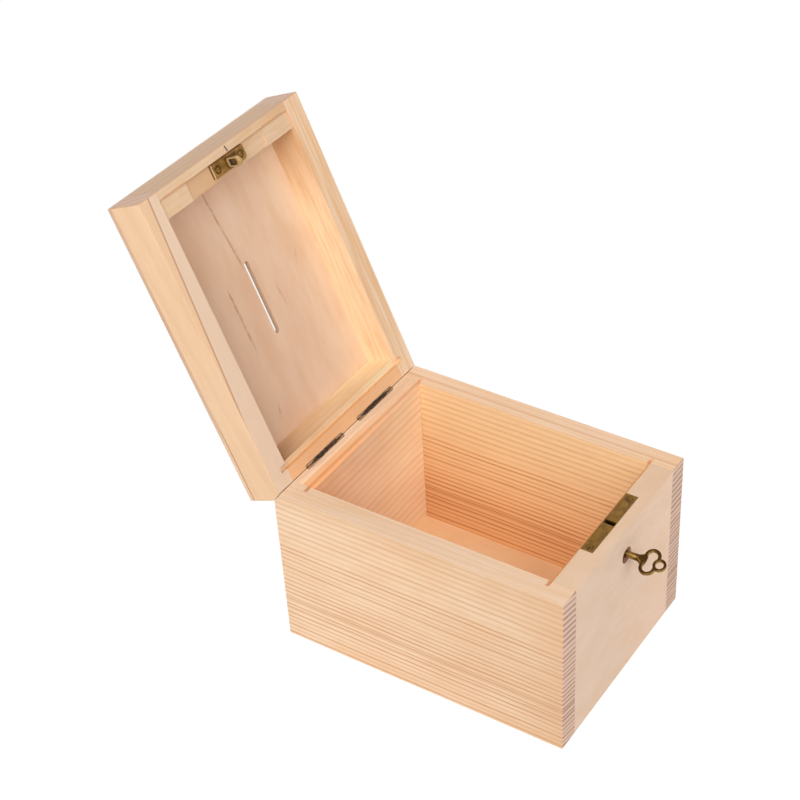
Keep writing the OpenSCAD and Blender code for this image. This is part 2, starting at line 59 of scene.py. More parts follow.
# %% A socket that can be added, multiplied and compared
class Wire:
    """One output socket of a node tree, or an empty start from which nodes are made."""

    def __init__(self, tree, socket=None):
        self.tree = tree
        self.socket = socket

    def node(self, kind, settings, sockets, output=0):
        """Adds a node of the kind, sets its settings, then fills or links its sockets by name or number."""
        made = self.tree.nodes.new("ShaderNode" + kind)
        for name, value in settings.items():
            setattr(made, name, value)
        for name, value in sockets.items():
            if isinstance(value, Wire):
                self.tree.links.new(value.socket, made.inputs[name])
            else:
                made.inputs[name].default_value = value
        return Wire(self.tree, made.outputs[output] if made.outputs else None)

    def math(self, operation, *values):
        """Math node of the operation on the values, each a wire or a number."""
        return self.node("Math", {"operation": operation}, dict(enumerate(values)))

    def __add__(self, other):
        return self.math("ADD", self, other)

    def __sub__(self, other):
        return self.math("SUBTRACT", self, other)

    def __rsub__(self, other):
        return self.math("SUBTRACT", other, self)

    def __mul__(self, other):
        return self.math("MULTIPLY", self, other)

    def __truediv__(self, other):
        return self.math("DIVIDE", self, other)

    def __abs__(self):
        return self.math("ABSOLUTE", self)

    __radd__ = __add__
    __rmul__ = __mul__

    def least(self, other):
        """The smaller of the two."""
        return self.math("MINIMUM", self, other)

    def most(self, other):
        """The larger of the two."""
        return self.math("MAXIMUM", self, other)

    def reach(self, other):
        """Straight distance over two steps at right angles: the root of the sum of their squares."""
        return self.math("SQRT", self * self + other * other)

    def between(self, low, high):
        """Soft step: 0 below low, 1 above high, smooth between them."""
        return self.node("MapRange", {"interpolation_type": "SMOOTHSTEP"},
                         {"Value": self, "From Min": low, "From Max": high})

    def near(self, middle, full, none):
        """1 within full of the middle, 0 beyond none, smooth between them."""
        return 1 - abs(self - middle).between(full, none)


print("operators ready")

# %% Colours and noise
# sockets of a Mix node that mixes colours
MIX_AMOUNT, MIX_FIRST, MIX_SECOND, MIX_RESULT = 0, 6, 7, 2


def linear(code):
    """Colour written as on a screen, #rrggbb, as the linear red, green, blue, alpha of a shader."""
    screen = np.array([int(code[i:i + 2], 16) for i in (1, 3, 5)]) / 255
    return (*np.where(screen > 0.04045, ((screen + 0.055) / 1.055) ** 2.4, screen / 12.92), 1.0)


def mixed(amount, first, second):
    """Colour that goes from the first to the second as the amount goes from 0 to 1.
    Each of the two is a wire or #rrggbb."""
    first, second = (linear(tone) if isinstance(tone, str) else tone for tone in (first, second))
    return amount.node("Mix", {"data_type": "RGBA"},
                       {MIX_AMOUNT: amount, MIX_FIRST: first, MIX_SECOND: second}, MIX_RESULT)


def tinted(amount, colour, tint):
    """Colour multiplied by red, green and blue of the tint, as far as the amount goes from 0 to 1."""
    return amount.node("Mix", {"data_type": "RGBA", "blend_type": "MULTIPLY"},
                       {MIX_AMOUNT: amount, MIX_FIRST: colour, MIX_SECOND: (*tint, 1.0)}, MIX_RESULT)


def cloud(x, y, z, detail=2.0):
    """Soft noise from 0 to 1 in three directions, about one swell per unit of each."""
    place = x.node("CombineXYZ", {}, {0: x, 1: y, 2: z})
    return x.node("TexNoise", {}, {"Vector": place, "Scale": 1.0, "Detail": detail, "Roughness": 0.55})


print("colour helpers ready")

# %% First and last nodes of a finish
def start(name):
    """New material with an empty tree, and the wire from which its nodes are made."""
    material = bpy.data.materials.new(name)
    material.use_nodes = True
    material.node_tree.nodes.clear()
    return material, Wire(material.node_tree)


def surface(wire, colour, roughness, height, depth_mm, metallic=0.0):
    """Ends a tree: a Principled surface whose normal leans with the height, depth_mm deep."""
    normal = wire.node("Bump", {}, {"Strength": 1.0, "Distance": depth_mm * MM, "Height": height})
    shader = wire.node("BsdfPrincipled", {}, {"Base Color": colour, "Roughness": roughness, "Normal": normal,
                                              "Metallic": metallic})
    wire.node("OutputMaterial", {}, {"Surface": shader})


def dress(finish, *names):
    """Gives the named solids the finish."""
    for name in names:
        nodes[name].material_slots[0].material = finish
    print(finish.name, "on", ", ".join(names))


print("finish helpers ready")

# %% [markdown]
# ## Where a board's grain lies
# Every pattern reads Object coordinates, in millimetres, so that it runs through the wood as real rings do.
# The lid was modelled open, so its boards first turn back about the hinge line: then all boards can be
# described as in the closed box, with X across, Y from front to back and Z up.

# %% Board coordinates in millimetres
OPEN_ANGLE = radians(113)
HINGE = Vector((0, 70.5, 87.15))
CLOSE = Matrix.Rotation(OPEN_ANGLE, 3, "X")


def places(wire, on_lid):
    """x, y and z of the closed box in millimetres: Object coordinates, for the lid turned shut."""
    turn = (OPEN_ANGLE, 0, 0) if on_lid else (0, 0, 0)
    shift = HINGE - CLOSE @ HINGE if on_lid else Vector((0, 0, 0))
    seen = wire.node("TexCoord", {}, {}, "Object")
    turned = wire.node("Mapping", {}, {"Vector": seen, "Location": shift, "Rotation": turn,
                                       "Scale": (1 / MM, 1 / MM, 1 / MM)})
    return [wire.node("SeparateXYZ", {}, {0: turned}, axis) for axis in "XYZ"]


print("lid turns back by", round(OPEN_ANGLE, 4), "about", tuple(HINGE))

# %% [markdown]
# ## Pine
# A pine board is cut from a stack of yearly rings. In each ring pale earlywood darkens slowly to a thin
# reddish band of latewood and then stops sharply. A picture texture would be quicker, but it would have
# seams at every edge. Here the ring number is a sum of the coordinates, so the lines on a side meet the
# lines on the end grain at the corner, as they do on the real box.

# %% Growth rings and fibres
LATEWOOD_STARTS, LATEWOOD_FULL, LATEWOOD_STOPS = 0.36, 0.85, 0.89
FIBRE_LENGTH, FIBRE_WIDTH = 9, 0.22
WOOD_RELIEF = 0.05


def ring_bands(number, seed):
    """Darkness of the latewood: the fraction of the ring number climbs slowly and drops fast.
    Each whole number draws its own strength."""
    part = number.math("FRACT", number)
    whole = number.math("FLOOR", number)
    own = number.node("TexWhiteNoise", {"noise_dimensions": "1D"}, {"W": whole + seed})
    rise = part.between(LATEWOOD_STARTS, LATEWOOD_FULL)
    return rise * (1 - part.between(LATEWOOD_STOPS, 1.0)) * (0.4 + 0.6 * own)


def fibres(along, across, through):
    """Fine streaks along the grain: noise that is forty times longer than wide."""
    return cloud(along / FIBRE_LENGTH, across / FIBRE_WIDTH, through / FIBRE_WIDTH, 3.0)


print("rings and fibres ready")

# %% Faces of the closed box and its eased edges
HALF_WIDTH, HALF_LENGTH = 56.0, 74.0
INNER_X, INNER_Y = 45.0, 61.0
BASE_TOP, LID_FOOT, LID_TOP = 87.0, 87.3, 107.3
ARRIS = 0.4


def arris(x, y, z, on_lid):
    """1 on the eased edges: closer than the arris to two outer faces of the base or lid at once."""
    faces = [HALF_WIDTH - abs(x), HALF_LENGTH - abs(y)]
    faces += [z - LID_FOOT, LID_TOP - z] if on_lid else [BASE_TOP - z, abs(z)]
    return sum(1 - away.between(0.9 * ARRIS, ARRIS) for away in faces).between(1.3, 1.8)


def board_end(y):
    """1 on the sawn ends of the boards that run from front to back."""
    return abs(y).between(HALF_LENGTH - 0.25, HALF_LENGTH - 0.1)


def base_rim(z):
    """1 on the upper rim of the base."""
    return z.between(BASE_TOP - 0.5, BASE_TOP - 0.3)


print("half width, half length:", HALF_WIDTH, HALF_LENGTH)

# %% [markdown]
# ## The side boards of the base
# Both were cut from one plank, so that the rings stand edge on: close straight lines along the board, wider
# apart near the rim. On the front corners the same rings show as end grain, which drinks light and looks
# darker. The inner faces are a deeper orange than the outside, with painted shade low down and at the back.

# %% Rings and faces of the side boards
RING_CHANGE, CLOSE_RING, WIDE_RING, RING_START = 55.5, 2.6, 3.25, 0.87
BOLD_RINGS = (-38.6, -32.9, -12.8, 22.6)


def side_rings(x, y, z, middle, tilt, seed):
    """Ring number: the height above RING_CHANGE, tilted across the board, over the width of one ring.
    The bold rings are dark years that show in both boards. Returns sway, level and bands."""
    sway = cloud(y / 70, x / 40, z / 34 + seed) - 0.5
    waver = cloud(y / 10, x / 8, z / 3 + seed) - 0.5
    level = z - RING_CHANGE + tilt * (x - middle) + 2.0 * sway + 0.3 * waver
    number = level.least(0.0) / CLOSE_RING + level.most(0.0) / WIDE_RING + RING_START
    bands = ring_bands(number, seed)
    for bold in BOLD_RINGS:
        bands = bands.most(0.8 * level.near(bold, 0.1, 0.75))
    return sway, level, bands


def side_faces(x, y, z, level, bands, streak, seed):
    """Outside, browner to the front and under the rim; inside, painted shade: redder low down and darker at
    the back.
    """
    blotch = cloud(y / 34, x / 16, z / 15 + seed, 3.0).between(0.32, 0.7)
    patchy = (0.66 + 0.5 * cloud(y / 26, x / 20, z / 7 + seed + 5.0)) * (0.75 + 0.7 * streak)
    upper = level.between(-6.0, 8.0)
    outer_pale = mixed(blotch, "#f0d1b0", "#ebc6a0")
    outer = mixed(bands * patchy * (1 - 0.4 * upper), outer_pale, "#cd966b")
    outer = tinted(1 - y.between(-90.0, 60.0), outer, (0.885, 0.87, 0.85))
    outer = tinted(z.between(76.0, BASE_TOP), outer, (0.93, 0.9, 0.86))
    outer = mixed(0.3 * (1 - y.between(-HALF_LENGTH, -52.0)), outer, "#d2a276")
    # painted shade: the inside is darker and redder low down, and darker towards the back end
    low = 1 - z.between(16.0, 78.0)
    inner_pale = mixed(low, "#fedba9", "#fcc78f")
    inner_late = mixed(low, "#dfa66c", "#ce834b")
    inner = mixed(1.1 * bands * patchy * (1 - 0.45 * upper), inner_pale, inner_late)
    inner = tinted(y.between(5.0, INNER_Y) * (1 - 0.7 * z.between(50.0, 80.0)), inner, (0.85, 0.83, 0.82))
    return mixed(abs(x).between(INNER_X + 0.05, INNER_X + 0.4), inner, outer)


print("bold rings at", [RING_CHANGE + bold for bold in BOLD_RINGS])

# %% Side boards
SIDE_MIDDLE, SIDE_SEED = 50.5, 3.0
LEDGE_FLOOR, LEDGE_WALL, LEDGE_MIDDLE, LEDGE_END = 84.5, 62.8, 61.9, 48.5
RIM_RING_X = 49.4


def side_pine(name, middle, tilt):
    """Rings and faces; then the pale rim with one brown ring on the right, the ledge ends in painted light,
    the eased edges in painted shade, and the end grain with its strong bands."""
    material, wire = start(name)
    x, y, z = places(wire, False)
    sway, level, bands = side_rings(x, y, z, middle, tilt, SIDE_SEED)
    streak = fibres(y, z, x)
    wood = side_faces(x, y, z, level, bands, streak, SIDE_SEED)
    wood = mixed(0.2 * streak.between(0.42, 0.75), wood, "#cf9468")
    rim = base_rim(z)
    ribbon = cloud(y / 55, x / 1.7, z / 40 + SIDE_SEED, 3.0).between(0.34, 0.66)
    wood = mixed(0.85 * rim, wood, mixed(ribbon, "#e6c8ae", "#e2bc97"))
    wood = tinted(rim * x.between(0.0, INNER_X), wood, (1.07, 1.04, 1.0))
    wood = mixed(0.45 * rim * (x + 0.8 * sway).near(RIM_RING_X, 0.3, 1.1), wood, "#d2996a")
    # painted light: the deep, shaded ends of the ledges are a light orange
    ledge = z.between(LEDGE_FLOOR - 0.2, LEDGE_FLOOR - 0.1) * abs(y).near(LEDGE_MIDDLE, 1.0, 1.15)
    ledge = ledge * (1 - z.between(BASE_TOP - 0.4, BASE_TOP - 0.1))
    ledge = ledge * abs(x).between(INNER_X + 0.1, INNER_X + 0.3)
    ledge = ledge * (1 - abs(x).between(LEDGE_END + 0.1, LEDGE_END + 0.3))
    wood = mixed(ledge, wood, "#f3cba4")
    # painted shade on the eased edges, so that they catch less light
    wood = mixed(0.45 * arris(x, y, z, False), wood, "#bd8f6a")
    grain_end = mixed((1.7 * bands).least(1.0), "#d8b7a2", "#a57d66")
    wood = mixed(board_end(y), wood, grain_end)
    surface(wire, wood, 0.62 - 0.1 * bands + 0.1 * streak, streak * 0.5 - bands, WOOD_RELIEF)
    return material


dress(side_pine("left_pine", -SIDE_MIDDLE, tilt=0.22), "left_side_board")
dress(side_pine("right_pine", SIDE_MIDDLE, tilt=0.03), "right_side_board")

# %% [markdown]
# ## The front and back boards
# Their grain runs across the box. The front is cut flat, so it looks almost plain, with short fibres. The
# back shows fine close lines inside, and a band of painted warm shade along the ledge and the inner half of
# its rim. Where the boards meet the sides, a thin line of glue darkens the joint. The walls of the drilled
# keyhole get red-brown painted shade, and those of the lock's mortise and of the hinge recesses dark painted
# shade.

# %% Front board
KEYHOLE_X, KEYHOLE_Z, KEYHOLE_RADIUS = 1.2, 70.7, 4.0
MORTISE_FOOT, PLATE_SEAT = 21.0, 85.8
FRONT_SEED = 21.0


def glue_and_edge_shade(wood, x, y, z, on_lid, glue, wear_and_light, edge_tone):
    """Wood with the glue lines beside the sides darkened and painted shade on the eased edges, by these
    amounts.
    """
    joint_line = abs(x).between(INNER_X - 0.25, INNER_X - 0.05)
    wood = mixed(glue * joint_line, wood, "#8a6244")
    # painted shade on the eased edges
    return mixed(wear_and_light * arris(x, y, z, on_lid), wood, edge_tone)


def front_pine():
    """Faint clouds and short dashes along X; painted shade makes the ledge orange, the mortise dark and the
    keyhole's walls red-brown.
    """
    material, wire = start("front_pine")
    x, y, z = places(wire, False)
    streak = fibres(x, z, y)
    dash = cloud(x / 3.5, z / 0.45, y / 0.5, 2.0).between(0.58, 0.78)
    blotch = cloud(x / 22, y / 15, z / 13 + FRONT_SEED, 3.0).between(0.3, 0.72)
    wood = mixed(blotch, "#e1c6af", "#dec0a5")
    wood = tinted(x.between(-20.0, 50.0), wood, (1.12, 1.08, 1.06))
    wood = mixed(0.26 * streak.between(0.36, 0.72) + 0.2 * dash, wood, "#c4977a")
    wood = mixed(0.8 * base_rim(z), wood, mixed(blotch, "#dcbb9e", "#d8b492"))
    # painted shade: the ledge is orange
    ledge = y.between(-LEDGE_WALL - 0.2, -LEDGE_WALL - 0.05)
    wood = mixed(ledge * z.between(LEDGE_FLOOR - 0.3, LEDGE_FLOOR - 0.1), wood, "#d9975f")
    wood = glue_and_edge_shade(wood, x, y, z, False, glue=0.35, wear_and_light=0.2, edge_tone="#b88f70")
    from_axis = (x - KEYHOLE_X).reach(z - KEYHOLE_Z)
    # painted shade: the walls of the lock's mortise are dark
    mortise_shade = y.between(-HALF_LENGTH + 0.4, -HALF_LENGTH + 0.7) * from_axis.between(
        KEYHOLE_RADIUS + 0.2, KEYHOLE_RADIUS + 0.4)
    mortise_shade = mortise_shade * (1 - y.between(-LEDGE_WALL - 0.25, -LEDGE_WALL - 0.1))
    mortise_shade = mortise_shade * z.between(MORTISE_FOOT - 1.0, MORTISE_FOOT)
    mortise_shade = mortise_shade * (1 - z.between(PLATE_SEAT + 0.02, PLATE_SEAT + 0.1))
    wood = mixed(0.9 * mortise_shade, wood, "#3d2c1f")
    # painted shade: the walls of the keyhole are red-brown
    bore_shade = 1 - from_axis.between(KEYHOLE_RADIUS - 0.1, KEYHOLE_RADIUS + 0.15)
    wood = mixed(bore_shade * (1 - y.between(-INNER_Y - 0.8, -INNER_Y - 0.4)), wood, "#a8684c")
    surface(wire, wood, 0.64 + 0.1 * streak, streak * 0.5 + dash * 0.4, WOOD_RELIEF)
    return material


dress(front_pine(), "front_board")

# %% Back board
HINGE_MIDDLES, HINGE_HALF, HINGE_RECESS = 20.5, 14.2, 1.3
BACK_RING, BACK_SEED = 4.3, 33.0
WARM_SHADE_FOOT, WARM_SHADE_BACK = 84.0, 65.9


def hinge_shaded(wood, x, y, z):
    """Wood with painted shade on the walls of the hinge recesses: near the hinge line and along each hinge.
    """
    from_line = (y - HINGE.y).reach(z - HINGE.z)
    shade = 1 - from_line.between(HINGE_RECESS, HINGE_RECESS + 0.12)
    return mixed(0.25 * (shade * abs(x).near(HINGE_MIDDLES, 8.0, HINGE_HALF)), wood, "#7d5a3d")


def back_pine():
    """Ring number: height less part of the depth, with a slow swell along the board, over one ring's width.
    Inside, painted shade darkens the left and painted light brightens the middle; an orange band of painted
    warm shade lies along the ledge and the inner rim, stronger on the left."""
    material, wire = start("back_pine")
    x, y, z = places(wire, False)
    sway = cloud(x / 50, y / 20, z / 40 + BACK_SEED) - 0.5
    waver = cloud(x / 9, y / 9, z / 3 + BACK_SEED) - 0.5
    bands = ring_bands((z - 0.4 * y + 4.0 * sway + 0.6 * waver) / BACK_RING, BACK_SEED)
    streak = fibres(x, z, y)
    blotch = cloud(x / 34, y / 15, z / 22 + BACK_SEED, 3.0).between(0.3, 0.75)
    inner = mixed(0.45 * bands, mixed(blotch, "#fbd9b8", "#f7cfac"), "#dda27c")
    inner = tinted(z.between(30.0, 86.0), inner, (0.96, 0.92, 0.88))
    # painted shade darkens the left of the inner face; painted light brightens its middle and right
    inner = tinted(1 - x.between(-INNER_X, 5.0), inner, (0.97, 0.87, 0.77))
    inner = tinted(x.between(-15.0, 35.0), inner, (1.05, 1.13, 1.1))
    outer = mixed(0.7 * bands, mixed(blotch, "#f3d5b6", "#eccaa8"), "#cf9d74")
    wood = mixed(y.between(INNER_Y + 0.1, INNER_Y + 0.6), inner, outer)
    # painted warm shade: an orange band along the ledge and the inner half of the rim, stronger on the left
    warm_shade_band = z.between(WARM_SHADE_FOOT, WARM_SHADE_FOOT + 0.3) * (1 - y.between(WARM_SHADE_BACK - 0.6, WARM_SHADE_BACK))
    wood = mixed((0.9 - 0.55 * x.between(-25.0, 30.0)) * warm_shade_band, wood, "#efb27c")
    wood = mixed(0.18 * streak.between(0.4, 0.75), wood, "#c4885c")
    wood = glue_and_edge_shade(wood, x, y, z, False, glue=0.35, wear_and_light=0.45, edge_tone="#b88f70")
    wood = hinge_shaded(wood, x, y, z)
    surface(wire, wood, 0.64 + 0.1 * streak, streak * 0.5 - bands, WOOD_RELIEF)
    return material


dress(back_pine(), "back_board")

# %% [markdown]
# ## The lid frame
# The lid's boards were cut another way round: long soft figure, few rings. One of them runs out of the left
# rim as a thin brown line, and a dark line of glue shows under the panel there. The front strip is stepped
# for the strike and carries a short dark mark beside it.

# %% Side boards of the lid
PANEL_UNDER = 104.8
LID_RING, LID_LEAN = 5.5, 0.0545
RIM_LINE_X, RIM_LINE_Y = -50.1, -73.6


def lid_rim(z):
    """1 on the rim of the lid, which meets the base when it is shut."""
    return 1 - z.between(LID_FOOT + 0.1, LID_FOOT + 0.3)


def lid_side_pine(name, seed, face, wall, rim_tones, rim_line):
    """Ring number: width, leaning with the length and the height, over one ring's width.
    The inner wall goes from its own tone to a browner one at the front: painted shade under the front strip.
    With rim_line, one ring parts the two tones of the rim."""
    material, wire = start(name)
    x, y, z = places(wire, True)
    sway = cloud(y / 80, x / 25, z / 18 + seed) - 0.5
    bands = ring_bands((x + LID_LEAN * y + 0.5 * z + 5.0 * sway) / LID_RING, seed)
    streak = fibres(y, z, x)
    blotch = cloud(y / 45, x / 12, z / 7 + seed, 3.0).between(0.3, 0.72)
    outer = mixed(0.3 * bands, mixed(blotch, *face), "#d09a6c")
    dash = cloud(y / 6, z / 0.4, x / 0.5 + seed).between(0.58, 0.78)
    outer = mixed(0.22 * dash, outer, "#b98358")
    # painted shade: the inner wall is browner towards the front strip
    front_shade = 1 - y.between(-58.0, -12.0)
    figure = cloud(y / 22, x / 5, z / 1.6 + seed, 3.0).between(0.42, 0.66)
    inner = mixed(0.2 * bands + 0.32 * figure, mixed(front_shade, *wall), "#d39a5f")
    wood = mixed(abs(x).between(INNER_X + 0.05, INNER_X + 0.3), inner, outer)
    rim = lid_rim(z)
    away = x - RIM_LINE_X + LID_LEAN * (y - RIM_LINE_Y) + 0.5 * sway
    ribbon = cloud(y / 55, x / 1.7, z / 40 + seed, 3.0).between(0.38, 0.62)
    wood = mixed(0.9 * rim, wood, mixed(away.between(-0.3, 0.3) if rim_line else ribbon, *rim_tones))
    wood = mixed(0.16 * streak.between(0.4, 0.75), wood, "#cf9a6a")
    if rim_line:
        wood = mixed(0.7 * away.near(0.0, 0.1, 0.75) * rim, wood, "#a8744b")
        under_panel = z.near(PANEL_UNDER - 0.15, 0.15, 0.45)
        wood = mixed(0.8 * under_panel * y.between(20.0, 48.0), wood, "#8a5c3a")
    else:
        wood = tinted(rim * y.between(10.0, 70.0), wood, (1.08, 1.2, 1.35))
    # painted shade on the eased edges, so that they catch less light
    wood = mixed(0.5 * arris(x, y, z, True), wood, "#bd8f6a")
    wood = mixed(board_end(y), wood, mixed(0.7 * bands, "#d0aa8f", "#a77d63"))
    surface(wire, wood, 0.62 + 0.1 * streak, streak * 0.5 - 0.5 * bands, WOOD_RELIEF)
    return material


dress(lid_side_pine("lid_left_pine", seed=41.0, face=("#e9c5a0", "#e6c099"), wall=("#f6d3a4", "#eabf8f"),
                    rim_tones=("#ddb894", "#dbbfa6"), rim_line=True), "lid_left_board")
dress(lid_side_pine("lid_right_pine", seed=47.0, face=("#f3d3ab", "#efcaa0"), wall=("#f9d8b0", "#deb58c"),
                    rim_tones=("#dcae80", "#e6c4a4"), rim_line=False), "lid_right_board")

# %% What the front and back strips of the lid share
STRIP_RING = 3.4


def strip_rings(x, y, z, seed):
    """Ring number: depth and part of the height, with a slow swell along the strip, over one ring's width.
    Returns the bands and the blotches."""
    sway = cloud(x / 60, y / 20, z / 18 + seed) - 0.5
    bands = ring_bands((y + 0.7 * z + 4.0 * sway) / STRIP_RING, seed)
    return bands, cloud(x / 24, y / 15, z / 9 + seed, 3.0).between(0.3, 0.72)


def strip_step(y, z, at):
    """1 on the upright wall of a strip's step at that depth."""
    return y.near(at, 0.1, 0.3) * z.between(LID_FOOT + 0.05, LID_FOOT + 0.2)


def strip_fibres_and_edge_shade(wood, x, y, z, streak):
    """Wood of a strip with its fibres, glue lines and painted shade on its eased edges."""
    wood = mixed(0.18 * streak.between(0.4, 0.75), wood, "#c5946a")
    return glue_and_edge_shade(wood, x, y, z, True, glue=0.3, wear_and_light=0.5, edge_tone="#bd8f6a")


print("ring of the strips:", STRIP_RING, "mm")

# %% Front strip of the lid
FRONT_STEP, POCKET_FLOOR = -70.0, 89.1
MARK_X, MARK_Y, MARK_LEAN = 1.34, -72.94, 0.244


def lid_front_pine():
    """Outside greyish with painted shade; inside a pale ledge, a pocket browned by painted shade, and steps
    in orange painted shadow. The rim has a short dark mark that leans: x less a share of y."""
    material, wire = start("lid_front_pine")
    x, y, z = places(wire, True)
    bands, blotch = strip_rings(x, y, z, seed=53.0)
    streak = fibres(x, z, y)
    wood = mixed(0.22 * bands, mixed(blotch, "#dbbc9c", "#d5b18b"), "#c0905f")
    # painted shade: the outside is greyish
    outside = 1 - y.between(-HALF_LENGTH + 0.1, -HALF_LENGTH + 0.3)
    wood = mixed(outside, wood, mixed(0.5 * bands, "#cca785", "#b58b67"))
    # painted shade: the pocket is browner, most on the left
    pocket = z.between(POCKET_FLOOR - 0.6, POCKET_FLOOR - 0.4)
    pocket = pocket * (1 - z.between(POCKET_FLOOR + 0.2, POCKET_FLOOR + 0.5))
    wood = mixed((0.75 - 0.6 * x.between(-14.0, 14.0)) * pocket, wood, "#c79d72")
    wood = mixed(0.55 * x.between(12.0, 44.0) * lid_rim(z), wood, "#d3a06f")
    # painted shadow: orange on the step wall and on the ledge beside it
    beside = abs(x).between(26.0, 28.0) * (1 - abs(x).between(41.0, 44.0))
    glow = 0.55 * y.near(FRONT_STEP, 0.2, 1.1) * beside
    wood = mixed((0.6 * strip_step(y, z, FRONT_STEP)).most(glow), wood, "#d08f52")
    wood = strip_fibres_and_edge_shade(wood, x, y, z, streak)
    along = x - MARK_X - MARK_LEAN * (y - MARK_Y)
    mark = along.near(0.0, 0.25, 0.6) * y.between(-73.3, -72.8)
    mark = mark * (1 - y.between(FRONT_STEP - 0.5, FRONT_STEP)) * lid_rim(z)
    wood = mixed(0.9 * mark, wood, "#3c2a1f")
    surface(wire, wood, 0.64 + 0.1 * streak, streak * 0.5 - 0.5 * bands, WOOD_RELIEF)
    return material


dress(lid_front_pine(), "lid_front_board")

# %% Back strip of the lid
BACK_STEP = 64.0


def lid_back_pine():
    """Orange rim at the hinges and a deeper orange step; painted light pales the right, painted shade browns
    the inside on the left.
    """
    material, wire = start("lid_back_pine")
    x, y, z = places(wire, True)
    bands, blotch = strip_rings(x, y, z, seed=59.0)
    streak = fibres(x, z, y)
    wood = mixed(0.18 * bands, mixed(blotch, "#e6c299", "#dfb58a"), "#c08655")
    # painted light pales the right; painted shade browns the inner face on the left
    wood = tinted(x.between(-20.0, 46.0), wood, (1.15, 1.37, 1.45))
    inside = 1 - y.between(INNER_Y + 0.1, INNER_Y + 0.4)
    wood = tinted(inside * (1 - x.between(-46.0, -14.0)), wood, (0.64, 0.58, 0.55))
    wood = mixed(0.75 * lid_rim(z), wood, "#e7ab79")
    wood = mixed(0.8 * strip_step(y, z, BACK_STEP), wood, "#e0a066")
    wood = hinge_shaded(strip_fibres_and_edge_shade(wood, x, y, z, streak), x, y, z)
    surface(wire, wood, 0.64 + 0.1 * streak, streak * 0.5 - 0.5 * bands, WOOD_RELIEF)
    return material


dress(lid_back_pine(), "lid_back_board")

# %% [markdown]
# ## The two panels
# The lid's top and the bottom are thin plywood. Its face is a peeled sheet, so it has no straight rings:
# soft pinkish clouds and a few long broken resin streaks along the grain. The edges show the glue line. The
# coin slot was sawn through; its walls get painted shade, darker towards the outside.

# %% Panels
PANEL_RELIEF = 0.04
COIN_HALF_WIDTH, COIN_HALF_LENGTH = 1.5, 18.5
# x at the first end, y at the first and last end, lean of x along y, and depth of each resin streak
LID_STREAKS = [(-6.8, -58.0, -16.0, 0.1, 0.65), (-17.1, -13.0, 18.0, 0.015, 0.75),
               (10.8, -3.0, 11.0, 0.1, 0.4), (31.5, -9.5, -2.0, -0.3, 0.35),
               (-18.4, 45.0, 52.5, -0.25, 0.5)]


def lid_panel_tones(wood, x, y, z):
    """Glue line on the edges; painted shade on the left, painted light on the right and the back left; slot
    walls in painted shade.
    """
    edge = abs(x).between(HALF_WIDTH - 0.3, HALF_WIDTH - 0.1)
    edge = edge.most(abs(y).between(HALF_LENGTH - 0.3, HALF_LENGTH - 0.1))
    wood = mixed(0.3 * edge * (1 - z.between(PANEL_UNDER + 0.1, PANEL_UNDER + 0.4)), wood, "#8f6240")
    # painted shade on the left of the panel, weaker at the back left; painted light on the right and the
    # back left
    lit_back_left = y.between(22.0, 60.0) * (1 - x.between(-45.0, -22.0))
    shaded = (1 - x.between(-42.0, 14.0)) * (1 - 0.7 * lit_back_left)
    wood = mixed(0.4 * shaded, wood, "#bf987c")
    wood = tinted(x.between(12.0, 46.0), wood, (1.06, 1.13, 1.11))
    wood = tinted(lit_back_left, wood, (1.15, 1.18, 1.14))
    # painted shade on the walls of the coin slot, darker towards the outside
    slot = x.near(0.0, COIN_HALF_WIDTH + 0.02, COIN_HALF_WIDTH + 0.1)
    slot = slot * y.near(0.0, COIN_HALF_LENGTH + 0.1, COIN_HALF_LENGTH + 0.2)
    slot = slot * z.between(PANEL_UNDER + 0.02, PANEL_UNDER + 0.1)
    return mixed(slot, wood, mixed(z.between(PANEL_UNDER, PANEL_UNDER + 1.6), "#d2ac8b", "#b8977a"))


def panel_ply(name, seed, on_lid, early, late, streaks):
    """Clouds stretched along Y. Each streak is a thin wavy line that leans, broken by a longer noise."""
    material, wire = start(name)
    x, y, z = places(wire, on_lid)
    drift = cloud(x / 16, y / 50, z / 18 + seed, 3.0)
    streak = fibres(y, x, z)
    dash = cloud(x / 0.8, y / 14, z / 4 + seed, 2.0).between(0.66, 0.8)
    wood = mixed(drift.between(0.3, 0.72), early, late)
    wood = mixed(0.14 * streak.between(0.4, 0.75) + 0.14 * dash, wood, "#b98763")
    bend = 1.1 * (cloud(x / 40, y / 9, z / 40 + seed) - 0.5)
    broken = 0.35 + 0.65 * cloud(x / 3, y / 5, z / 40 + seed, 3.0).between(0.36, 0.6)
    for middle, first, last, lean, depth in streaks:
        off = abs(x - middle - lean * (y - first) + bend)
        length = y.between(first - 1.5, first + 4.0) * (1 - y.between(last - 4.0, last + 1.5))
        wood = mixed(depth * length * broken * (1 - off.between(0.1, 0.95)), wood, "#9a6a4c")
    if on_lid:
        wood = lid_panel_tones(wood, x, y, z)
    surface(wire, wood, 0.62 + 0.1 * streak, streak * 0.5, PANEL_RELIEF)
    return material


dress(panel_ply("lid_ply", seed=61.0, on_lid=True, early="#debda2", late="#d4ad8e", streaks=LID_STREAKS),
      "lid_panel")
dress(panel_ply("floor_ply", seed=67.0, on_lid=False, early="#f3cfa4", late="#ecc294", streaks=[]),
      "bottom_panel")

# %% [markdown]
# ## Brass and steel
# The lock, strike, hinges and key are antiqued brass: an even brown oxide with a little worn gold. A plain
# metallic colour looks like plastic, and strong noise looks like camouflage. Here two sizes of weak noise
# drive the tarnish, which is rougher and darker, and a plate adds its own dark rings round the screws.

# %% Plates and lock parts
METAL_RELIEF = 0.02
LOCK_Y = -65.85
SCREW_RIM = 1.5
STRIKE_LEFT = -10.65
EYE_SHADE_X = 2.4


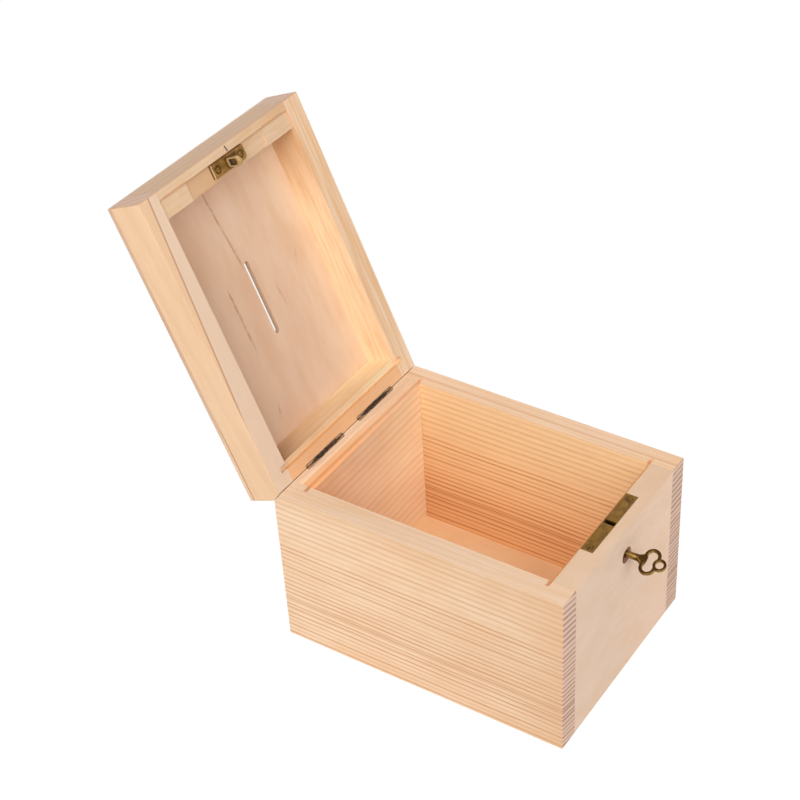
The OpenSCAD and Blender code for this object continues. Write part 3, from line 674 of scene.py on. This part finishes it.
def tarnish(x, y, z, amount):
    """Weak patina: a coarse and a fine noise in one sum, lifted by the amount. The fine noise comes too."""
    coarse = cloud(x / 3.0, y / 3.0, z / 3.0, 3.0)
    fine = cloud(x / 0.4, y / 0.4, z / 0.4, 2.0)
    return fine, (0.6 * coarse + 0.4 * fine).between(0.75 - amount, 1.15 - amount)


def metal(name, worn_tone, old_tone, amount, smooth, on_lid=False, screws=(), dirt=0.0):
    """Worn metal under tarnish; a dark ring of dirt round the head of each screw at its x.
    On the lid, painted shade lies round the root of the eye, and the left edge gets a painted highlight over
    painted shade, less metallic."""
    material, wire = start(name)
    x, y, z = places(wire, on_lid)
    fine, aged = tarnish(x, y, z, amount)
    colour = mixed(aged, worn_tone, old_tone)
    for screw_x in screws:
        from_screw = (x - screw_x).reach(y - LOCK_Y)
        colour = mixed(dirt * from_screw.near(SCREW_RIM, 0.2, 0.8), colour, "#2c1f0e")
    shine = 1.0 - 0.2 * aged
    if on_lid:
        # painted shade round the root of the eye
        root = x.near(EYE_SHADE_X, 2.6, 5.6) * y.near(LOCK_Y, 2.0, 3.4)
        colour = mixed(0.75 * root, colour, "#3d230c")
        # the left edge: a painted highlight next to the plate's face and painted shade further in, less
        # metallic
        edge = 1 - x.between(STRIKE_LEFT + 0.1, STRIKE_LEFT + 0.35)
        colour = mixed(edge, colour, mixed(z.between(LID_FOOT + 0.6, LID_FOOT + 1.0), "#cbae7c", "#6e4f2c"))
        shine = shine * (1 - 0.7 * edge)
    surface(wire, colour, smooth + 0.15 * aged, fine, METAL_RELIEF, shine)
    return material


plate_brass = metal("plate_brass", "#8a652d", "#573a0e", amount=0.4, smooth=0.42,
                    screws=(-18.2, 18.2), dirt=0.45)
strike_brass = metal("strike_brass", "#a87d44", "#674415", amount=0.38, smooth=0.36,
                     on_lid=True, screws=(-7.4, 8.4), dirt=0.75)
# oxide and painted shade: the lock parts inside the front board are nearly black
dress(metal("oxide_and_shade_brass", "#2a2116", "#140f0a", amount=0.4, smooth=0.75),
      "lock_case", "lock_cap", "lock_bolt", "lock_pillars", "bolt_spring")
dress(metal("drawn_steel", "#8d8b86", "#55534f", amount=0.3, smooth=0.35),
      "hinge_pin_left", "hinge_pin_right")

# %% Eye of the strike
EYE_HALF = 0.75
EYE_HOLE_Z, EYE_HOLE_TOP, EYE_HOLE_RADIUS = 83.0, 86.05, 1.3


def eye_finish():
    """Rubbed gold with a painted highlight on the left flank, and painted shade on the walls of the hole:
    closer to the hole's middle line than its radius.
    """
    material, wire = start("eye_brass")
    x, y, z = places(wire, True)
    fine, aged = tarnish(x, y, z, amount=0.32)
    from_hole = (y - LOCK_Y).reach((EYE_HOLE_Z - z).most(0.0))
    hole = 1 - from_hole.between(EYE_HOLE_RADIUS + 0.16, EYE_HOLE_RADIUS + 0.28)
    hole = hole * (1 - z.between(EYE_HOLE_TOP, EYE_HOLE_TOP + 0.2))
    colour = mixed(aged, "#bd9a63", "#7c5a2a")
    # painted highlight on the left flank; painted shade on the walls of the hole
    lit_flank = 1 - x.between(-EYE_HALF + 0.03, -EYE_HALF + 0.2)
    colour = mixed(0.7 * lit_flank, colour, "#cdb17e")
    colour = mixed(hole, colour, "#2c1a09")
    shine = (1.0 - 0.2 * aged) * (1 - 0.6 * lit_flank) * (1 - 0.7 * hole)
    surface(wire, colour, 0.3 + 0.15 * aged + 0.3 * hole, fine, METAL_RELIEF, shine)
    return material


eye_brass = eye_finish()
print("eye:", eye_brass.name)

# %% Hinges
# direction across the knuckles, square to the plane through the pin
LIP_Y, LIP_Z = 0.832, 0.555
HINGE_RELIEF = 0.03


def hinge_finish():
    """Dark oxide in long flecks along the knuckles, in a core that narrows at the ends of each hinge:
    distance from a plane through the pin, nearness to the end and flecks add up to pale, less metallic
    sides, a painted highlight that also fades the ends into the wood."""
    material, wire = start("hinge_brass")
    x, y, z = places(wire, False)
    fine, aged = tarnish(x, y, z, amount=0.4)
    fleck = cloud(x / 1.4, y / 0.4, z / 0.4 + 71.0, 3.0).between(0.42, 0.62)
    end = abs(abs(x) - HINGE_MIDDLES).between(5.5, 13.5)
    across = abs(LIP_Y * (y - HINGE.y) + LIP_Z * (z - HINGE.z))
    # painted highlight: the knuckle's sides as seen and its ends are pale
    side_sheen = (across + 0.6 * end + 0.3 * fleck - 0.15).between(0.6, 1.0)
    pale = (side_sheen * (0.65 + 0.35 * fleck)).most(0.12 * fleck)
    colour = mixed(pale, "#251c16", "#bd9470")
    surface(wire, colour, 0.42 + 0.2 * aged, fine, HINGE_RELIEF, 0.75 - 0.7 * pale)
    return material


dress(hinge_finish(), "hinge_base_leaf_left", "hinge_base_leaf_right",
      "hinge_lid_leaf_left", "hinge_lid_leaf_right")

# %% [markdown]
# ## Softened edges
# Stamped plates and screw heads are tumbled after cutting, so their edges catch a thin line of light. The
# solids have sharp edges. A copy of each gets its loose triangles merged, its flat faces joined and a small
# Bevel.

# %% Plates, eye and screws with softened edges
SAME_POINT = 1e-7
FLAT_ANGLE, BEVEL_ANGLE, CREASE_ANGLE = radians(0.5), radians(35), radians(30)


def softened(name, body, finish, width_mm):
    """Copy of a solid, merged and with flat faces joined, whose edges a Bevel of that width rounds."""
    mesh = nodes[name].data.copy()
    work = bmesh.new()
    work.from_mesh(mesh)
    bmesh.ops.remove_doubles(work, verts=work.verts, dist=SAME_POINT)
    bmesh.ops.dissolve_limit(work, angle_limit=FLAT_ANGLE, verts=work.verts, edges=work.edges)
    work.to_mesh(mesh)
    work.free()
    mesh.materials.clear()
    mesh.materials.append(finish)
    piece = bpy.data.objects.new(name + "_eased", mesh)
    bpy.context.scene.collection.objects.link(piece)
    bevel = piece.modifiers.new("edge", "BEVEL")
    bevel.width = width_mm * MM
    bevel.segments = 2
    bevel.limit_method = "ANGLE"
    bevel.angle_limit = BEVEL_ANGLE
    bevel.harden_normals = True
    mesh.shade_smooth()
    mesh.set_sharp_from_angle(angle=CREASE_ANGLE)
    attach(piece, body)
    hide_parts(name)
    print(piece.name, "bevel", width_mm, "mm")


softened("lock_faceplate", "base", plate_brass, 0.12)
softened("lock_screws", "base", plate_brass, 0.08)
softened("strike_plate", "lid", strike_brass, 0.15)
softened("strike_screws", "lid", strike_brass, 0.08)
softened("strike_eye", "lid", eye_brass, 0.25)

# %% [markdown]
# ## The key
# The bow is cast: two lobes and an end ring of round bar on a flat palm, and the shank and bit are filed.
# The solid has the same outline with flat faces. Here a bar is an oval carried along a path in the bow's
# plane, the palm is an oval that widens along the key, and the shank is a profile turned round the axis.
# Each point also keeps its wear and painted highlight: the faces are dark, the edges that fingers rub and
# that catch the light are gold.

# %% Key coordinates
KEY_AXIS = np.array([1.2, -74.0, 71.6])
KEY_TURN = radians(70)
OUT = np.array([0.0, -1.0, 0.0])
ACROSS = np.array([sin(KEY_TURN), 0.0, cos(KEY_TURN)])
THROUGH = np.cross(OUT, ACROSS)


def in_key(out, across, through):
    """Point so far out of the front face, across the bow and through its thickness, in metres."""
    steps = out[..., None] * OUT + across[..., None] * ACROSS + through[..., None] * THROUGH
    return (KEY_AXIS + steps) * MM


def oval(count, power):
    """Points of a circle whose cosine and sine are raised to a power: 1 is round, towards 0 it is square."""
    turn = np.linspace(0, 2 * pi, count, endpoint=False)
    return [np.sign(v) * np.abs(v) ** power for v in (np.cos(turn), np.sin(turn))]


def quads(rows, columns, ring):
    """Faces of a grid of points whose rows are closed rings; ring also joins the last row to the first."""
    i, j = np.meshgrid(np.arange(rows if ring else rows - 1), np.arange(columns), indexing="ij")
    below, beside = (i + 1) % rows, (j + 1) % columns
    return np.stack([i * columns + j, below * columns + j, below * columns + beside, i * columns + beside],
                    axis=-1).reshape(-1, 4)


print("key axis at", KEY_AXIS)

# %% Bars of the bow and the bit
BAR_POINTS = 28


def bar(path, width, depth, power=0.85, scale=None):
    """An oval of width by depth at each point of the path (out, across), square to the path.
    The scale shrinks it at each point. Returns the grid of points and its wear and painted highlight."""
    ahead = np.gradient(path, axis=0)
    ahead = ahead / np.linalg.norm(ahead, axis=1, keepdims=True)
    side = np.stack([-ahead[:, 1], ahead[:, 0]], axis=1)
    wide, deep = oval(BAR_POINTS, power)
    scale = np.ones(len(path)) if scale is None else scale
    reach = scale[:, None] * wide * width / 2
    out = path[:, :1] + reach * side[:, :1]
    across = path[:, 1:] + reach * side[:, 1:]
    through = scale[:, None] * deep * depth / 2
    return in_key(out, across, through), np.broadcast_to(np.abs(wide) ** 5, out.shape)


def arc(middle, radius, first, last, count):
    """Points on a circle of the bow's plane between two angles in degrees."""
    turn = np.radians(np.linspace(first, last, count))
    return np.stack([middle[0] + radius * np.cos(turn), middle[1] + radius * np.sin(turn)], axis=1)


def closed_ends(count, taper):
    """Scale of a bar: shut at its first point, full along it, and rounded off over the last taper points."""
    scale = np.ones(count)
    scale[0] = 0.0
    scale[-taper:] = np.sqrt(1 - np.linspace(1 / taper, 1, taper) ** 2)
    return scale


print("points round a bar:", BAR_POINTS)

# %% Palm and shank
PALM_FIRST, PALM_LAST, PALM_ROUNDING = 4.9, 8.7, 0.95
PALM_RADIUS, PALM_SPREAD, PALM_THINNING = 1.52, 1.4, 0.66
SPREAD_FIRST, SPREAD_LENGTH = 5.2, 3.0
SHANK_OUT = np.array([-10.65, -10.65, -10.5, -9.65, -9.65, -9.5, 0.0, 3.0, 5.2, 6.0, 6.2])
SHANK_RADIUS = np.array([0.0, 1.05, 1.2, 1.2, 1.45, 1.6, 1.6, 1.6, 1.6, 1.45, 0.0])


def palm():
    """Oval along the key: as round as the shank at first, then wider and flatter by a smooth step,
    and rounded off at the bow like a quarter circle."""
    rounding = PALM_LAST + PALM_ROUNDING * np.sin(np.linspace(0.05, pi / 2, 12))
    out = np.concatenate([np.linspace(PALM_FIRST, PALM_LAST, 24), rounding])
    spread = np.clip((out - SPREAD_FIRST) / SPREAD_LENGTH, 0, 1)
    spread = spread * spread * (3 - 2 * spread)
    ease = np.sqrt(np.clip(1 - np.clip((out - PALM_LAST) / PALM_ROUNDING, 0, 1) ** 2, 0, 1))
    ease[0] = 0.0
    wide, deep = oval(BAR_POINTS, 0.8)
    across = (PALM_RADIUS + PALM_SPREAD * spread)[:, None] * wide * np.sqrt(ease)[:, None]
    through = (PALM_RADIUS - PALM_THINNING * spread)[:, None] * deep * ease[:, None]
    grid = in_key(np.broadcast_to(out[:, None], across.shape), across, through)
    return grid, np.broadcast_to(0.25 * np.abs(wide) ** 4, across.shape)


def shank():
    """Profile of distance out and radius, turned round the axis: pivot, shoulder and plain shank."""
    beside, up = oval(40, 1.0)
    across = SHANK_RADIUS[:, None] * beside
    # wear and painted highlight: the shank outside the lock is gold
    wear_and_sheen = np.where(SHANK_OUT < 5.0, 0.75, 0.15)
    grid = in_key(np.broadcast_to(SHANK_OUT[:, None], across.shape), across, SHANK_RADIUS[:, None] * up)
    return grid, np.broadcast_to(wear_and_sheen[:, None], across.shape)


print("shank from", SHANK_OUT[0], "to", SHANK_OUT[-1], "mm")

# %% Mesh of the key
LOBE_OUT, LOBE_ACROSS, LOBE_BAR, LOBE_POINTS, LOBE_TAPER = 11.4, 2.9, 3.05, 64, 12
RING_OUT, RING_BAR, RING_POINTS = 16.0, 2.48, 48
BAR_WIDTH, RING_WIDTH, BOW_DEPTH = 1.7, 1.4, 1.8
BIT_OUT, BIT_FOOT, BIT_TIP, BIT_WIDTH, BIT_DEPTH, BIT_STEP = -8.15, 0.6, 3.8, 3.0, 1.4, 1e-4
KEY_SAME_POINT, KEY_CREASE = 1e-6, radians(40)

lobe = arc((LOBE_OUT, LOBE_ACROSS), LOBE_BAR, 218, -52, LOBE_POINTS)
lobe_scale = closed_ends(LOBE_POINTS, LOBE_TAPER)
end_ring = arc((RING_OUT, 0), RING_BAR, 0, 360 - 360 / RING_POINTS, RING_POINTS)
bit_across = (BIT_FOOT, BIT_FOOT + BIT_STEP, BIT_TIP - BIT_STEP, BIT_TIP)
bit = np.array([[BIT_OUT, across] for across in bit_across])
parts = [(bar(lobe, BAR_WIDTH, BOW_DEPTH, scale=lobe_scale), False),
         (bar(lobe[::-1] * (1, -1), BAR_WIDTH, BOW_DEPTH, scale=lobe_scale[::-1]), False),
         (bar(end_ring, RING_WIDTH, BOW_DEPTH), True),
         (palm(), False), (shank(), False),
         (bar(bit, BIT_WIDTH, BIT_DEPTH, power=0.2, scale=closed_ends(len(bit), 1)), False)]
points, faces, wear_and_sheen = [], [], []
for (grid, wear_and_light), ring in parts:
    faces.append(quads(*grid.shape[:2], ring) + sum(len(p) for p in points))
    points.append(grid.reshape(-1, 3))
    wear_and_sheen.append(wear_and_light.reshape(-1))
points, faces, wear_and_sheen = np.concatenate(points), np.concatenate(faces), np.concatenate(wear_and_sheen)
key_mesh = bpy.data.meshes.new("key_rounded")
key_mesh.from_pydata(points, [], faces.tolist())
key_mesh.attributes.new("wear_and_sheen", "FLOAT", "POINT").data.foreach_set("value", wear_and_sheen.astype(np.float32))
work = bmesh.new()
work.from_mesh(key_mesh)
bmesh.ops.remove_doubles(work, verts=work.verts, dist=KEY_SAME_POINT)
bmesh.ops.recalc_face_normals(work, faces=work.faces)
work.to_mesh(key_mesh)
work.free()
key_mesh.shade_smooth()
key_mesh.set_sharp_from_angle(angle=KEY_CREASE)
print("key:", len(key_mesh.vertices), "points,", len(key_mesh.polygons), "faces")

# %% Finish of the key
KEY_RELIEF = 0.015


def key_finish():
    """Dark bronze that turns to gold with the wear and painted highlight, broken by streaks along the shank,
    under tarnish.
    """
    material, wire = start("key_bronze")
    x, y, z = places(wire, False)
    wear_and_light = wire.node("Attribute", {"attribute_name": "wear_and_sheen"}, {}, "Fac")
    fine, aged = tarnish(x, y, z, amount=0.32)
    drawn = cloud(x / 0.5, y / 12, z / 0.5, 2.0).between(0.4, 0.65)
    # wear and painted highlight turn the bronze gold
    colour = mixed((wear_and_light * (0.5 + 0.5 * drawn)).least(1.0), "#4b3313", "#c9a766")
    colour = mixed(0.5 * aged, colour, "#3b270c")
    surface(wire, colour, 0.3 + 0.12 * aged, fine, KEY_RELIEF, 1.0 - 0.15 * aged)
    return material


key_mesh.materials.append(key_finish())
key_piece = bpy.data.objects.new("key_rounded", key_mesh)
bpy.context.scene.collection.objects.link(key_piece)
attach(key_piece, "key")
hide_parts("key")

# %% [markdown]
# ## Floor, light and camera
# The box was photographed on white under soft light from the left. One large soft lamp gives the direction
# and reaches into the open box, a weaker one lifts the front, a third one grazes the back, and the world
# fills the rest. The floor is white to the camera and still takes a faint shadow.

# %% Floor
FLOOR_HALF = 3.0
FADE_NEAR, FADE_FAR = 0.3, 0.9
WHITE = (1, 1, 1, 1)


def seen_directly(wire):
    """1 for rays that come straight from the camera, off a gloss or through glass."""
    straight = wire.node("LightPath", {}, {}, "Is Camera Ray")
    glossy = wire.node("LightPath", {}, {}, "Is Glossy Ray")
    through = wire.node("LightPath", {}, {}, "Is Transmission Ray")
    return straight.most(glossy).most(through)


corners = [(FLOOR_HALF * x, FLOOR_HALF * y, 0) for x, y in ((-1, -1), (1, -1), (1, 1), (-1, 1))]
sheet = bpy.data.meshes.new("floor")
sheet.from_pydata(corners, [], [(0, 1, 2, 3)])
floor = bpy.data.objects.new("floor", sheet)
bpy.context.scene.collection.objects.link(floor)
floor_white, wire = start("floor_white")
matt = wire.node("BsdfDiffuse", {}, {"Color": (0.85, 0.85, 0.85, 1)})
shade = wire.node("BsdfDiffuse", {}, {"Color": (0.16, 0.16, 0.16, 1)})
glow = wire.node("Emission", {}, {"Color": WHITE, "Strength": 0.9})
near = wire.node("AddShader", {}, {0: shade, 1: glow})
far = wire.node("Emission", {}, {"Color": WHITE, "Strength": 1.0})
spot = wire.node("TexCoord", {}, {}, "Object")
away = wire.node("VectorMath", {"operation": "LENGTH"}, {0: spot}, "Value")
shown = wire.node("MixShader", {}, {0: away.between(FADE_NEAR, FADE_FAR), 1: near, 2: far})
both = wire.node("MixShader", {}, {0: seen_directly(wire), 1: matt, 2: shown})
wire.node("OutputMaterial", {}, {"Surface": both})
sheet.materials.append(floor_white)
print("floor half width:", FLOOR_HALF, "m")

# %% World
world = bpy.data.worlds.new("studio")
world.use_nodes = True
world.node_tree.nodes.clear()
bpy.context.scene.world = world
wire = Wire(world.node_tree)
ambient = wire.node("Background", {}, {"Color": WHITE, "Strength": 0.22})
white = wire.node("Background", {}, {"Color": WHITE, "Strength": 1.0})
sky = wire.node("MixShader", {}, {0: seen_directly(wire), 1: ambient, 2: white})
wire.node("OutputWorld", {}, {"Surface": sky})
print("world:", world.name)

# %% Lamps
BOX_MIDDLE = Vector((0, 0.03, 0.09))


def softbox(name, azimuth, elevation, distance, size, watts):
    """Square lamp at the given bearing (0 is the front, negative is the left), turned to the box."""
    turn, climb = radians(azimuth), radians(elevation)
    away = Vector((sin(turn) * cos(climb), -cos(turn) * cos(climb), sin(climb)))
    lamp = bpy.data.lights.new(name, "AREA")
    lamp.size = size
    lamp.energy = watts
    stand = bpy.data.objects.new(name, lamp)
    stand.location = BOX_MIDDLE + distance * away
    stand.rotation_euler = away.to_track_quat("Z", "Y").to_euler()
    bpy.context.scene.collection.objects.link(stand)
    print(name, watts, "W at", tuple(round(v, 2) for v in stand.location))


softbox("key_light", azimuth=-77, elevation=46, distance=1.4, size=0.9, watts=15.0)
softbox("fill_light", azimuth=-18, elevation=34, distance=1.4, size=0.9, watts=9.0)
softbox("back_light", azimuth=140, elevation=14, distance=1.6, size=0.9, watts=6.0)

# %% Camera, fitted to the corners of the box in the photograph
AZIMUTH, ELEVATION, ROLL = radians(-57.455), radians(38.912), radians(-1.915)
EYE = Vector((-0.538767, -0.340488, 0.613308))
right = Vector((cos(AZIMUTH), sin(AZIMUTH), 0))
back = Vector((sin(AZIMUTH) * cos(ELEVATION), -cos(AZIMUTH) * cos(ELEVATION), sin(ELEVATION)))
up = back.cross(right)
level = cos(ROLL) * right + sin(ROLL) * up
rise = cos(ROLL) * up - sin(ROLL) * right
lens = bpy.data.cameras.new("photo_view")
lens.sensor_width = 36.0
lens.lens = 82.886
lens.shift_x = -0.09125
lens.shift_y = 0.06826
camera = bpy.data.objects.new("photo_view", lens)
camera.matrix_world = Matrix.Translation(EYE) @ Matrix((level, rise, back)).transposed().to_4x4()
bpy.context.scene.collection.objects.link(camera)
bpy.context.scene.camera = camera
bpy.context.scene.view_settings.view_transform = "Standard"
print("camera at", tuple(round(v, 3) for v in EYE))
